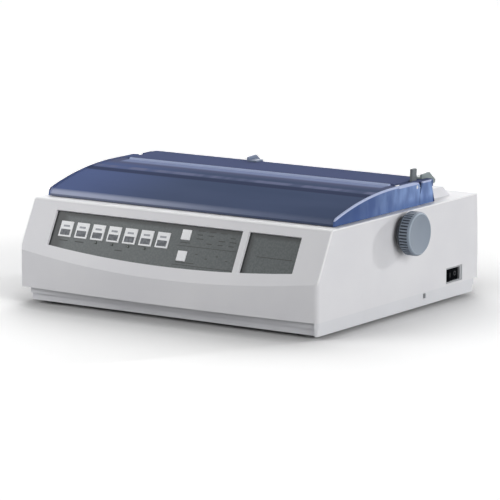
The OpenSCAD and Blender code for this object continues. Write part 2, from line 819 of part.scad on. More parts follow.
// Rocker that tips about an upright pin: two flat faces that meet at a shallow angle.
module power_rocker() {
    tip = 8;
    color("black") {
        translate([rocker_x, rocker_y, switch_z + 2.2]) linear_extrude(height = switch_h - 4.4) rotate(tip)
            polygon([[-5, -rocker_half + 2], [2.6, -rocker_half + 0.4], [0.9, 0], [2.6, rocker_half - 0.4],
                     [-5, rocker_half - 2]]);
        translate([rocker_x, rocker_y, switch_z + 0.5]) cylinder(r = 1.5, h = switch_h - 1);
    }
}

// ---------- smoked covers ----------

// Upper line of the access cover, lowered by t: front corner, long curve, level rear.
function cover_line(t, y_end) = let (
    flat_y = 5,
    arc_z = cover_top - cover_arc_r,
    a0 = acos((-cover_front + 4 - flat_y) / cover_arc_r),
    front_z = arc_z + cover_arc_r * sin(a0))
    concat([[-cover_front + 1 + t * 0.9, front_z - 3 - t]],
           arc(flat_y, arc_z, cover_arc_r - t, a0 - t * 0.1, 90, 14), [[y_end, cover_top - t]]);

ridge_half = 176;           // half the length of the rounded rear ridge
ridge_r = 3;
cover_ribs = 18;            // short ribs under the ridge
cover_rib_pitch = 17.4;

module access_cover() {
    sheet_drop = 1.2;       // the side walls stand this far above the sheet
    color(smoke_blue) {
        for (s = [-1, 1]) along_x(s > 0 ? cover_in : -cover_half, cover_t) difference() {
            polygon(concat([[-cover_front, cover_bottom]], cover_line(0, hinge_y - hinge_round - 1),
                           arc(hinge_y, hinge_z, hinge_round, 75, 0, 5), [[side_joint_y, cover_bottom]]));
            translate([hinge_y, hinge_z]) circle(r = hinge_pin_r + run);
        }
        along_x(-cover_in - 0.1, 2 * cover_in + 0.2) {
            polygon(concat([[-cover_front, cover_bottom]], cover_line(sheet_drop, cover_lip_y - 2),
                           [for (i = [len(cover_line(0, 0)) - 1 : -1 : 0])
                               cover_line(sheet_drop + cover_t, cover_lip_y - 2)[i]],
                           [[-cover_front + cover_t, cover_bottom]]));
        }
        along_x(-ridge_half, 2 * ridge_half) translate([cover_lip_y - ridge_r, cover_top - 2.2]) circle(r = ridge_r);
        for (i = [0 : cover_ribs - 1]) let (x = (i - (cover_ribs - 1) / 2) * cover_rib_pitch)
            box([x - 2, cover_lip_y - 14, cover_top - 9], [x + 2, cover_lip_y - ridge_r - 1, cover_top - 3]);
    }
}

module paper_separator() {
    top = separator_top;
    color(smoke_blue) {
        // sheet: narrow between the lugs, full width behind them, slotted for the release lever
        difference() {
            union() {
                box([-flange_out, separator_front, top - cover_t], [flange_out, separator_rear, top]);
                box([-cover_in - 0.1, side_joint_y + 8, top - cover_t], [cover_in + 0.1, separator_rear, top]);
            }
            box([lever_slot[0], separator_front - 1, top - 10], [lever_slot[1], guide_front + 0.5, top + 1]);
        }
        // rear lip and side flanges under the sheet
        box([-cover_in - 0.1, separator_rear - cover_t, top - separator_lip],
            [cover_in + 0.1, separator_rear, top - 1]);
        for (s = [-1, 1]) {
            x_flange = s > 0 ? flange_out - cover_t : -flange_out;
            along_x(x_flange, cover_t) difference() {
                polygon(concat(arc(separator_pin_y, separator_pin_z, 4, 180, 270, 4),
                               [[side_joint_y + 8, top - separator_lip], [side_joint_y + 8, top - 1],
                                [separator_front + 1, top - 1]]));
                translate([separator_pin_y, separator_pin_z]) circle(r = hinge_pin_r + run);
            }
            along_x(s > 0 ? cover_in : -cover_half, cover_t)
                polygon([[side_joint_y + 1, cover_bottom], [side_joint_y + 1, top - 14], [side_joint_y + 8, top],
                         [78, top], [separator_rear, cover_bottom]]);
        }
    }
}

// Paper guide: upright fin on a shoe that wraps the separator's rear lip; dir points to the shoe's free end.
module paper_guide(x, dir) {
    top = separator_top + slack;
    lip = separator_rear + slack;
    lip_low = separator_top - separator_lip - slack;
    shoe_w = 13;
    shoe_t = 1.8;
    fin_t = 2.4;
    x_shoe = dir > 0 ? x - fin_t / 2 : x + fin_t / 2 - shoe_w;
    color("gray") {
        along_x(x - fin_t / 2, fin_t) polygon([[guide_front, top], [guide_front + 0.5, top + 5], [90, top + 6],
            [103, top - 4], [101.8, lip_low + 1], [lip, lip_low + 1], [lip, top]]);
        along_x(x_shoe, shoe_w) polygon([[guide_front, top], [guide_front, top + shoe_t],
            [lip + shoe_t, top + shoe_t], [lip + shoe_t, lip_low - shoe_t], [lip - 6, lip_low - shoe_t],
            [lip - 6, lip_low], [lip, lip_low], [lip, top]]);
    }
}

// ---------- platen ----------

module platen() {
    color("#222222") difference() {
        rod_x(-platen_half, platen_half, platen_y, platen_z, platen_r);
        rod_x(-platen_half - 1, platen_half + 1, platen_y, platen_z, shaft_r + fit);
    }
}

module platen_shaft() {
    color("silver") rod_x(gear_x - 1, knob_in + knob_t - 4, platen_y, platen_z, shaft_r);
}

module platen_gear() {
    color("ivory") difference() {
        union() {
            gear_x(gear_x, platen_y, platen_z, platen_teeth, platen_phase);
            rod_x(gear_x, -frame_out - 2.2, platen_y, platen_z, shaft_r + 3);
        }
        rod_x(gear_x - 1, 0, platen_y, platen_z, shaft_r + fit);
    }
}

// Ribbed knob on the right end of the platen shaft.
module platen_knob() {
    color("slategray") difference() {
        union() {
            translate([0, platen_y, platen_z]) along_x(knob_in, knob_t - 1.5) polygon([
                for (i = [0 : knob_ribs - 1]) let (step = 360 / knob_ribs)
                    each [for (f = [[0, -0.9], [0.3, -0.9], [0.42, 0], [0.88, 0]])
                        [(knob_r + f[1]) * cos(step * (i + f[0])), (knob_r + f[1]) * sin(step * (i + f[0]))]]]);
            rod_x(knob_in + knob_t - 1.5, knob_in + knob_t, platen_y, platen_z, knob_r - 1.6);
        }
        rod_x(knob_in - 1, knob_in + knob_t - 4 + fit, platen_y, platen_z, shaft_r + fit);
        difference() {
            rod_x(knob_in - 1, knob_in + knob_t - 5, platen_y, platen_z, knob_r - 3.5);
            rod_x(knob_in - 2, knob_in + knob_t, platen_y, platen_z, shaft_r + 4);
        }
    }
}

// ---------- gears ----------

module line_feed_gear() {
    color("ivory") difference() {
        gear_x(gear_x, platen_y, feed_gear_z, platen_teeth, feed_phase);
        rod_x(gear_x - 1, 0, platen_y, feed_gear_z, stud_r + run);
    }
}

module motor_pinion() {
    color("goldenrod") {
        gear_x(gear_x, motor_y, motor_z, pinion_teeth, pinion_phase);
        rod_x(gear_in - 1, -frame_half + 14, motor_y, motor_z, motor_shaft_r);
    }
}

module tractor_idle_gear() {
    color("ivory") difference() {
        gear_x(gear_x, idle_y, idle_z, idle_teeth, idle_phase);
        rod_x(gear_x - 1, 0, idle_y, idle_z, stud_r + run);
    }
}

// Square shaft with round journals and its gear at the left end.
module tractor_shaft() {
    color("silver") {
        gear_x(gear_x, tractor_y, tractor_z, tractor_teeth, tractor_phase);
        rod_x(gear_in - 1, -frame_half + 4, tractor_y, tractor_z, journal_r);
        rod_x(frame_half - 4, frame_out + 4, tractor_y, tractor_z, journal_r);
        box([-frame_half + 3, tractor_y - square_w / 2, tractor_z - square_w / 2],
            [frame_half - 3, tractor_y + square_w / 2, tractor_z + square_w / 2]);
    }
}

// ---------- tractors ----------

hub_r = 6;
tractor_plate = 4;
wheel_w = 6;

// Tractor frame: upright plate that slides on the support rod and carries the pin wheel's hub.
// side is -1 or 1; the wheel is on the inner face.
module tractor_frame(side) {
    x0 = side * tractor_x - tractor_plate / 2;
    color("#39404d") {
        along_x(x0, tractor_plate) difference() {
            polygon(concat(arc(tractor_y, tractor_z, 9.2, 270, 120, 8),
                           [[rod_support_y + 8, tractor_z + 10], [rod_support_y + 8, rod_support_z - 8],
                            [rod_support_y - 6, rod_support_z - 8]]));
            translate([tractor_y, tractor_z]) circle(r = hub_r + run);
            translate([rod_support_y, rod_support_z]) circle(r = rod_support_r + run);
        }
        // hinge pin of the door, along the top of the plate
        translate([side * tractor_x, door_y0 - 0.5, door_z]) rotate([-90, 0, 0])
            cylinder(r = 1.2, h = door_len + 1);
        box([side * tractor_x - 1.2, door_y0 + 12, tractor_z + 8], [side * tractor_x + 1.2, door_y0 + 20, door_z]);
    }
}
door_y0 = 48;
door_len = 38;
door_z = tractor_z + wheel_r + 3.2;

module tractor_wheel(side) {
    inner = -side;
    x_wheel = side * tractor_x + inner * (tractor_plate / 2 + 0.3 + wheel_w / 2);
    color("ivory") difference() {
        union() {
            rod_x(x_wheel - wheel_w / 2, x_wheel + wheel_w / 2, tractor_y, tractor_z, wheel_r);
            rod_x(side * tractor_x - 4, side * tractor_x + 4, tractor_y, tractor_z, hub_r);
            for (i = [0 : wheel_pins - 1]) translate([x_wheel, tractor_y, tractor_z])
                rotate([360 / wheel_pins * i, 0, 0]) cylinder(r = 1.4, h = wheel_r + 1.5, $fn = 16);
        }
        box([-half_w, tractor_y - square_w / 2 - run, tractor_z - square_w / 2 - run],
            [half_w, tractor_y + square_w / 2 + run, tractor_z + square_w / 2 + run]);
    }
}

// Door over the pin wheel: a flap with two knuckles and a slot for the pins.
module tractor_door(side) {
    inner = -side;
    x0 = side * tractor_x + inner * 2.2;
    x1 = side * tractor_x + inner * 12;
    x_wheel = side * tractor_x + inner * (tractor_plate / 2 + 0.3 + wheel_w / 2);
    color("#39404d") {
        difference() {
            box([min(x0, x1), door_y0, door_z - 1], [max(x0, x1), door_y0 + door_len, door_z + 1]);
            box([x_wheel - 1.9, door_y0 + 1, door_z - 2], [x_wheel + 1.9, door_y0 + 20, door_z + 2]);
        }
        for (y = [door_y0, door_y0 + door_len - 8]) difference() {
            union() {
                translate([side * tractor_x, y, door_z]) rotate([-90, 0, 0]) cylinder(r = 2.2, h = 8);
                box([min(side * tractor_x, x0 + inner), y, door_z - 0.8],
                    [max(side * tractor_x, x0 + inner), y + 8, door_z + 0.8]);
            }
            translate([side * tractor_x, y - 1, door_z]) rotate([-90, 0, 0]) cylinder(r = 1.2 + run, h = 10);
        }
    }
}

// ---------- paper bail ----------

bail_shaft_r = 1.5;

module paper_bail() {
    color("silver") {
        rod_x(-bail_arm_x - 1, bail_arm_x + 1, bail_y, bail_z, bail_shaft_r);
        for (s = [-1, 1]) {
            x0 = s > 0 ? bail_arm_x : -bail_arm_x - 1.6;
            along_x(x0, 1.6) polygon(concat(arc(bail_y, bail_z, 3.5, 70, 250, 8),
                                            arc(bail_pivot_y, bail_pivot_z, 4, 250, 430, 8)));
            pin_x = s > 0 ? bail_arm_x + 1 : -frame_out - 1;
            rod_x(pin_x, pin_x + frame_out - bail_arm_x, bail_pivot_y, bail_pivot_z, 2);
        }
    }
}

roller_places = [-112, -56, 0, 56, 112];

// Rollers joined by a thin sleeve, free to turn on the bail's rod.
module bail_rollers() {
    color("#2a2a2a") difference() {
        union() {
            for (x = roller_places) rod_x(x - 7, x + 7, bail_y, bail_z, bail_r);
            rod_x(roller_places[0], roller_places[4], bail_y, bail_z, bail_shaft_r + 1);
        }
        rod_x(-half_w, half_w, bail_y, bail_z, bail_shaft_r + run);
    }
}

// ---------- levers ----------

module paper_release_lever() {
    x0 = lever_x - lever_t / 2;
    color("#444a50") difference() {
        union() {
            along_x(x0, lever_t) polygon(concat(
                arc(lever_pivot_y, lever_pivot_z, 7, 180, 360, 10),
                [[lever_pivot_y + 5, 110], [lever_pivot_y + 7, lever_top - 1], [lever_pivot_y + 6, lever_top],
                 [lever_pivot_y - 1, lever_top], [lever_pivot_y - 2, lever_top - 1], [lever_pivot_y - 4, 110]]));
            rod_x(frame_out + 0.3, x0 + 1, lever_pivot_y, lever_pivot_z, 6);
        }
        rod_x(0, half_w, lever_pivot_y, lever_pivot_z, stud_r + run);
    }
}

module head_gap_lever() {
    x0 = frame_out + 2;
    color("steelblue") difference() {
        along_x(x0, 4) polygon(concat(arc(rod_y, rod_z, 9, 150, 390, 12),
            [[rod_y + 4, rod_z + 12], [rod_y + 2, 104], [rod_y - 4, 104], [rod_y - 5, rod_z + 12]]));
        rod_x(0, half_w, rod_y, rod_z, rod_r + run);
    }
}

// ---------- carriage ----------

head_z = platen_z;
head_low = 84;
head_high = 105;

module carriage_frame() {
    color("#30343c") translate([carriage_x, 0, 0]) difference() {
        union() {
            box([-carriage_half, -93, carriage_floor], [carriage_half, -32, carriage_floor + carriage_floor_t]);
            along_x(-carriage_half, 2 * carriage_half) polygon(concat(
                arc(rod_y, rod_z, 9.5, 0, 180, 10), [[rod_y - 9.5, carriage_floor], [rod_y + 9.5, carriage_floor]]));
            box([-head_w / 2, -52, rod_z], [head_w / 2, -24, head_low - fit]);
            for (s = [-1, 1]) box([s * (carriage_half - 2) - 2, -92, carriage_floor],
                                  [s * (carriage_half - 2) + 2, rod_y, cartridge_z - fit]);
        }
        rod_x(-carriage_half - 1, carriage_half + 1, rod_y, rod_z, rod_r + run);
        translate([0, space_y, carriage_floor - 1]) cylinder(r = motor_shaft_r + 1, h = 6);
    }
}

module print_head() {
    color("gray") translate([carriage_x, 0, 0]) {
        box([-head_w / 2, -50, head_low], [head_w / 2, -22, head_low + 3]);
        box([-head_w / 2 + 5, -48, head_low + 2], [head_w / 2 - 5, -20, head_high]);
        for (i = [0 : head_fins - 1]) let (y = -48 + 26 * i / head_fins)
            box([-head_w / 2, y, head_low + 2], [head_w / 2, y + 2, head_high]);
        translate([0, 0, head_z - 5]) linear_extrude(height = 10)
            polygon([[-8, -21], [8, -21], [4, nose_y], [-4, nose_y]]);
    }
}

module space_motor() {
    color("gray") translate([carriage_x, space_y, carriage_floor + carriage_floor_t + fit]) difference() {
        cylinder(r = space_motor_r, h = 20);
        translate([0, 0, -1]) cylinder(r = motor_shaft_r + run, h = 12);
    }
}

module space_pinion() {
    color("goldenrod") translate([carriage_x, space_y, 0]) {
        translate([0, 0, rack_z]) linear_extrude(height = rack_h)
            polygon(polar(gear_points(space_teeth, -90 + 180 / space_teeth)));
        translate([0, 0, rack_z + 1]) cylinder(r = motor_shaft_r, h = 16);
    }
}

// Cartridge that rides on the carriage; two horns carry the ribbon past the head's nose.
module ribbon_cartridge() {
    hw = ribbon_w / 2;
    horn = 9;
    color("#26262a") translate([carriage_x, 0, cartridge_z]) {
        difference() {
            linear_extrude(height = cartridge_t) union() {
                polygon(concat(
                    arc(hw - 4, cartridge_rear - 4, 4, 0, 90), arc(4 - hw, cartridge_rear - 4, 4, 90, 180),
                    arc(8 - hw, cartridge_front + 8, 8, 180, 270), arc(hw - 8, cartridge_front + 8, 8, 270, 360)));
                for (s = [-1, 1]) polygon([[s * 22, cartridge_rear - 2], [s * (22 + horn), cartridge_rear - 2],
                    [s * (17 + horn / 2), nose_y - 3], [s * 17, nose_y - 3]]);
            }
            translate([26, cartridge_front + 20, cartridge_t - 3]) cylinder(r = 7.2, h = 4);
            translate([26, cartridge_front + 20, 3]) cylinder(r = 2 + run, h = cartridge_t);
        }
        // ribbon band between the horns
        box([-18.5, nose_y + 0.8, 1], [18.5, nose_y + 1.2, 13]);
        for (s = [-1, 1]) box([s * 18 - 1, nose_y - 3.2, 1], [s * 18 + 1, nose_y + 1.2, 13]);
    }
}

module ribbon_knob() {
    color("teal") translate([carriage_x + 26, cartridge_front + 20, cartridge_z]) {
        translate([0, 0, cartridge_t - 3 + run]) cylinder(r = 7, h = 5);
        translate([-6, -1, cartridge_t + 1.5]) cube([12, 2, 3]);
        translate([0, 0, 3.2]) cylinder(r = 2, h = cartridge_t - 4);
    }
}

// ---------- the assembly ----------

module placed() {
    translate([-(knob_in + knob_t - half_w) / 2, 0, 0]) children();
}

placed() lower_case();
placed() upper_case();
placed() rubber_feet();
placed() case_screws();
placed() control_panel();
placed() name_panel();
placed() panel_board();
placed() chassis_plate();
placed() side_frame_left();
placed() side_frame_right();
placed() carriage_shaft();
placed() space_rack();
placed() platen_bushes();
placed() paper_chute();
placed() line_feed_motor();
placed() tractor_rod();
placed() main_board();
placed() transformer();
placed() power_inlet();
placed() parallel_port();
placed() switch_housing();
placed() power_rocker();
placed() access_cover();
placed() paper_separator();
placed() paper_guide(guide_left_x, 1);  // paper_guide_left
placed() paper_guide(guide_right_x, -1);  // paper_guide_right
placed() platen();
placed() platen_shaft();
placed() platen_gear();
placed() platen_knob();
placed() line_feed_gear();
placed() motor_pinion();
placed() tractor_idle_gear();
placed() tractor_shaft();
placed() tractor_frame(-1);  // tractor_frame_left
placed() tractor_frame(1);  // tractor_frame_right
placed() tractor_wheel(-1);  // tractor_wheel_left
placed() tractor_wheel(1);  // tractor_wheel_right
placed() tractor_door(-1);  // tractor_door_left
placed() tractor_door(1);  // tractor_door_right
placed() paper_bail();
placed() bail_rollers();
placed() paper_release_lever();
placed() head_gap_lever();
placed() carriage_frame();
placed() print_head();
placed() space_motor();
placed() space_pinion();
placed() ribbon_cartridge();
placed() ribbon_knob();
placed() large_key(1);  // key_1
placed() large_key(2);  // key_2
placed() large_key(3);  // key_3
placed() large_key(4);  // key_4
placed() large_key(5);  // key_5
placed() large_key(6);  // key_6
placed() large_key(7);  // key_7
placed() small_key(1);  // small_key_1
placed() small_key(2);  // small_key_2
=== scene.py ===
import math

import bpy
from mathutils import Matrix, Vector


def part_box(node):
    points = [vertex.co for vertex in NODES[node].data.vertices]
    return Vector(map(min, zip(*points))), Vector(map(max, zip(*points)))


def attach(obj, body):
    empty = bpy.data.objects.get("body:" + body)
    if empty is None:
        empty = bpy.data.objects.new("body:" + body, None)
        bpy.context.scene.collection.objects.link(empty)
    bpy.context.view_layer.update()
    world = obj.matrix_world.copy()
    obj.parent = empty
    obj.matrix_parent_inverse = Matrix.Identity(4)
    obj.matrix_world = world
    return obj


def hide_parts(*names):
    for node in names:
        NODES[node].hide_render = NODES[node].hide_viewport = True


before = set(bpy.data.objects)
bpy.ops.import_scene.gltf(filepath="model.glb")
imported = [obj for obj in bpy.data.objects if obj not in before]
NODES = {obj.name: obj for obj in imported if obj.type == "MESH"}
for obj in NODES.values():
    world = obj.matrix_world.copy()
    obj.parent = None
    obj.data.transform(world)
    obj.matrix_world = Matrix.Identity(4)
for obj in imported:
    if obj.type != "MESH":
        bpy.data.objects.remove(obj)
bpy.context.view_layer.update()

MM = 0.001

# The camera stands to the front right, a little above the printer.
VIEW_AZIMUTH = 34.038
VIEW_ELEVATION = 10.022
VIEW_DISTANCE = 4.2001
VIEW_LENS = 267.93
CASE_LOW, CASE_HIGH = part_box("upper_case")
CASE_MID = Vector(((CASE_LOW[0] + CASE_HIGH[0]) / 2, 0, 0))
VIEW_TARGET = CASE_MID + Vector((0, 0, 0.0642))
# How far the whole camera is shifted, without turning.
VIEW_RIGHT = 0.000717
VIEW_UP = -0.008932

# The sloped panel face: its top edge and its angle from the vertical.
SLOPE_TOP = CASE_MID + Vector((0, -136.4 * MM, 116 * MM))
SLOPE_TILT = math.radians(90 - 27.8)
PLATE_OUT = -3.01           # outer face of the panel plates, from the slope's face
KEY_PROUD = -2.11           # top of the keys, from the slope's face
WINDOW_TOP_Z = 105.6        # height of the windows' upper edge
KEY_DOWN = 32               # middle of the large keys, down the slope
KEY_PITCH = 22
KEY_FIRST = -146            # middle of the first key
KEY_COUNT = 7
LIGHT_DOWN = 43.8           # middle of the indicator lights
LIGHT_R = 1.45
LIGHT_SHIFT = 0.8           # a light stands this far right of its key's middle
LIT_KEYS = range(2, 6)      # the keys, counted from 0, with a light under them
PRINT_THICK = 0.08          # a printed line stands this far out, so that it shows

CASE_HALF_W = 199
CASE_TOP = 116
FRONT_LEAN = 0.527          # the sloped face runs back this far for each millimetre of height

# The covers: highest line, radius and middle of the access cover's long curve, and the ridge at its rear.
COVER_TOP = 143.5
COVER_ARC_R = 420
COVER_ARC_Y = 5
COVER_HALF = 191.7
RIDGE_HALF = 176

# The platen's axis, and the knob: where it starts, from the middle of the case, and the ribs round it.
PLATEN_Y = 8
PLATEN_Z = 93.5
KNOB_IN = 203.5
KNOB_RIBS = 43

# The power rocker turns about an upright pin. Each of its two faces leans back from the middle.
ROCKER_PIN = (195.6, 116.0, 30.0)
ROCKER_TIP = math.radians(8)
ROCKER_LEAN = math.atan2(1.7, 13.1)
ROCKER_FACE_X = 0.9         # where the two faces meet, out from the pin
MARK_OUT = 6.8              # the marks' distance from the pin, along the case

# The parallel port: its middle, its outer face, and the contacts on its tongue.
PORT_X = -90
PORT_Z = 40
PORT_FACE_Y = 172.0
PORT_SCREW_OUT = 33.4
CONTACT_ROW = 18
CONTACT_PITCH = 2.916
TONGUE_HALF = 1.6
CONTACT_START_Y = 157.6
CONTACT_END_Y = 166.2


# ---------- colour and node helpers ----------

def linear(hex_code):
    """An sRGB hex colour as linear RGBA."""
    parts = [int(hex_code[i:i + 2], 16) / 255 for i in (0, 2, 4)]
    return tuple(p / 12.92 if p <= 0.04045 else ((p + 0.055) / 1.055) ** 2.4 for p in parts) + (1.0,)


def add_node(tree, kind, settings=None, inputs=None):
    """One node with its settings. An input is a value, or the socket it is linked from."""
    made = tree.nodes.new(kind)
    for key, value in (settings or {}).items():
        setattr(made, key, value)
    for key, value in (inputs or {}).items():
        if isinstance(value, bpy.types.NodeSocket):
            tree.links.new(value, made.inputs[key])
        else:
            made.inputs[key].default_value = value
    return made


def new_finish(name, roughness, metallic=0.0):
    """A named material with its tree, its shader and the piece's own coordinates."""
    material = bpy.data.materials.new(name)
    material.use_nodes = True
    tree = material.node_tree
    shader = tree.nodes["Principled BSDF"]
    shader.inputs["Roughness"].default_value = roughness
    shader.inputs["Metallic"].default_value = metallic
    place = add_node(tree, "ShaderNodeTexCoord").outputs["Object"]
    return material, tree, shader, place


def grain(tree, place, size_mm, detail=2.0, stretch=(1, 1, 1)):
    """A noise value with features of a size in millimetres, stretched along an axis if asked."""
    turned = add_node(tree, "ShaderNodeMapping", inputs={"Vector": place, "Scale": stretch})
    return add_node(tree, "ShaderNodeTexNoise", inputs={
        "Vector": turned.outputs["Vector"], "Scale": 1000 / size_mm, "Detail": detail}).outputs["Fac"]


def ramp(tree, value, start, end, low=0.0, high=1.0):
    """A value that runs smoothly from low to high as another goes from start to end."""
    return add_node(tree, "ShaderNodeMapRange", {"interpolation_type": "SMOOTHSTEP"}, {
        "Value": value, "From Min": start, "From Max": end, "To Min": low, "To Max": high}).outputs["Result"]


def math_node(tree, operation, first, second=0.0):
    """One arithmetic step on two values."""
    return add_node(tree, "ShaderNodeMath", {"operation": operation}, {0: first, 1: second}).outputs[0]


def band(tree, value, start, end, soft):
    """1 between two values and 0 outside them."""
    rise = ramp(tree, value, start - soft, start)
    return math_node(tree, "MULTIPLY", rise, ramp(tree, value, end, end + soft, 1.0, 0.0))


def millimetres(tree, place):
    """The x, y and z of a point in millimetres from the middle of the case."""
    moved = add_node(tree, "ShaderNodeMapping", inputs={
        "Vector": place, "Location": -CASE_MID / MM, "Scale": (1000, 1000, 1000)})
    parts = add_node(tree, "ShaderNodeSeparateXYZ", inputs={"Vector": moved.outputs["Vector"]}).outputs
    return parts["X"], parts["Y"], parts["Z"]


def blend(tree, factor, first, second):
    """A mix of two colours, each a hex code or a socket."""
    mixed = add_node(tree, "ShaderNodeMix", {"data_type": "RGBA"})
    for index, colour in ((6, first), (7, second)):
        if isinstance(colour, str):
            mixed.inputs[index].default_value = linear(colour)
        else:
            tree.links.new(colour, mixed.inputs[index])
    tree.links.new(factor, mixed.inputs[0])
    return mixed.outputs[2]


def two_tone(tree, factor, low_hex, high_hex, low=0.3, high=0.7):
    """A colour that runs from one hex to the other as the factor goes from low to high."""
    return blend(tree, ramp(tree, factor, low, high), low_hex, high_hex)


def own_millimetres(tree):
    """The x, y and z of a point of the piece, in a tree that already has its other nodes."""
    return millimetres(tree, add_node(tree, "ShaderNodeTexCoord").outputs["Object"])


def radius_about(tree, y, z, axis_y, axis_z):
    """The distance of a point from an axis that runs along x."""
    offset = add_node(tree, "ShaderNodeCombineXYZ", inputs={
        "Y": math_node(tree, "SUBTRACT", y, axis_y), "Z": math_node(tree, "SUBTRACT", z, axis_z)})
    length = add_node(tree, "ShaderNodeVectorMath", {"operation": "LENGTH"}, {0: offset.outputs[0]})
    return length.outputs["Value"]


def retint(tree, factor, colour):
    """Lays a colour over what the shader already has, where the factor is 1."""
    base = tree.nodes["Principled BSDF"].inputs["Base Color"]
    tree.links.new(blend(tree, factor, base.links[0].from_socket, colour), base)


def seen_rays(tree):
    """1 for rays from the camera, through clear plastic and off glossy faces, and 0 for the light itself."""
    rays = add_node(tree, "ShaderNodeLightPath").outputs
    seen = math_node(tree, "MAXIMUM", rays["Is Camera Ray"], rays["Is Transmission Ray"])
    return math_node(tree, "MAXIMUM", seen, rays["Is Glossy Ray"])


def bump(tree, shader, height, depth_mm, strength=1.0):
    """Relief of a depth in millimetres."""
    raised = add_node(tree, "ShaderNodeBump", inputs={
        "Height": height, "Distance": depth_mm * MM, "Strength": strength})
    tree.links.new(raised.outputs["Normal"], shader.inputs["Normal"])


# ---------- finishes ----------

def moulded_plastic(name, low_hex, high_hex, roughness=0.5, grit_mm=1.2, depth_mm=0.02, coat=0.0,
                    drift_mm=90):
    """Injection-moulded plastic from a spark-eroded tool: an even, fine grit, and a colour that drifts
    slightly from place to place."""
    material, tree, shader, place = new_finish(name, roughness)
    tone = two_tone(tree, grain(tree, place, drift_mm, 3.0), low_hex, high_hex)
    tree.links.new(tone, shader.inputs["Base Color"])
    # The real grit is about 0.2 mm. It is drawn coarser, so that it shows.
    bump(tree, shader, grain(tree, place, grit_mm), depth_mm, 0.5)
    shader.inputs["Coat Weight"].default_value = coat
    return material


def rolled_metal(name, low_hex, high_hex, roughness=0.35, grain_mm=6, stretch=(0.2, 1, 1), depth_mm=0.01):
    """Sheet or rod metal: long faint streaks along the rolling direction."""
    material, tree, shader, place = new_finish(name, roughness, 1.0)
    streaks = grain(tree, place, grain_mm, 4.0, stretch)
    tree.links.new(two_tone(tree, streaks, low_hex, high_hex), shader.inputs["Base Color"])
    bump(tree, shader, streaks, depth_mm, 0.3)
    return material


def rubber(name, low_hex, high_hex, roughness=0.8):
    """Ground rubber: matt, with a fine tooth from the grinding wheel."""
    material, tree, shader, place = new_finish(name, roughness)
    tone = two_tone(tree, grain(tree, place, 8, 3.0), low_hex, high_hex)
    tree.links.new(tone, shader.inputs["Base Color"])
    bump(tree, shader, grain(tree, place, 0.8), 0.03, 0.6)
    return material


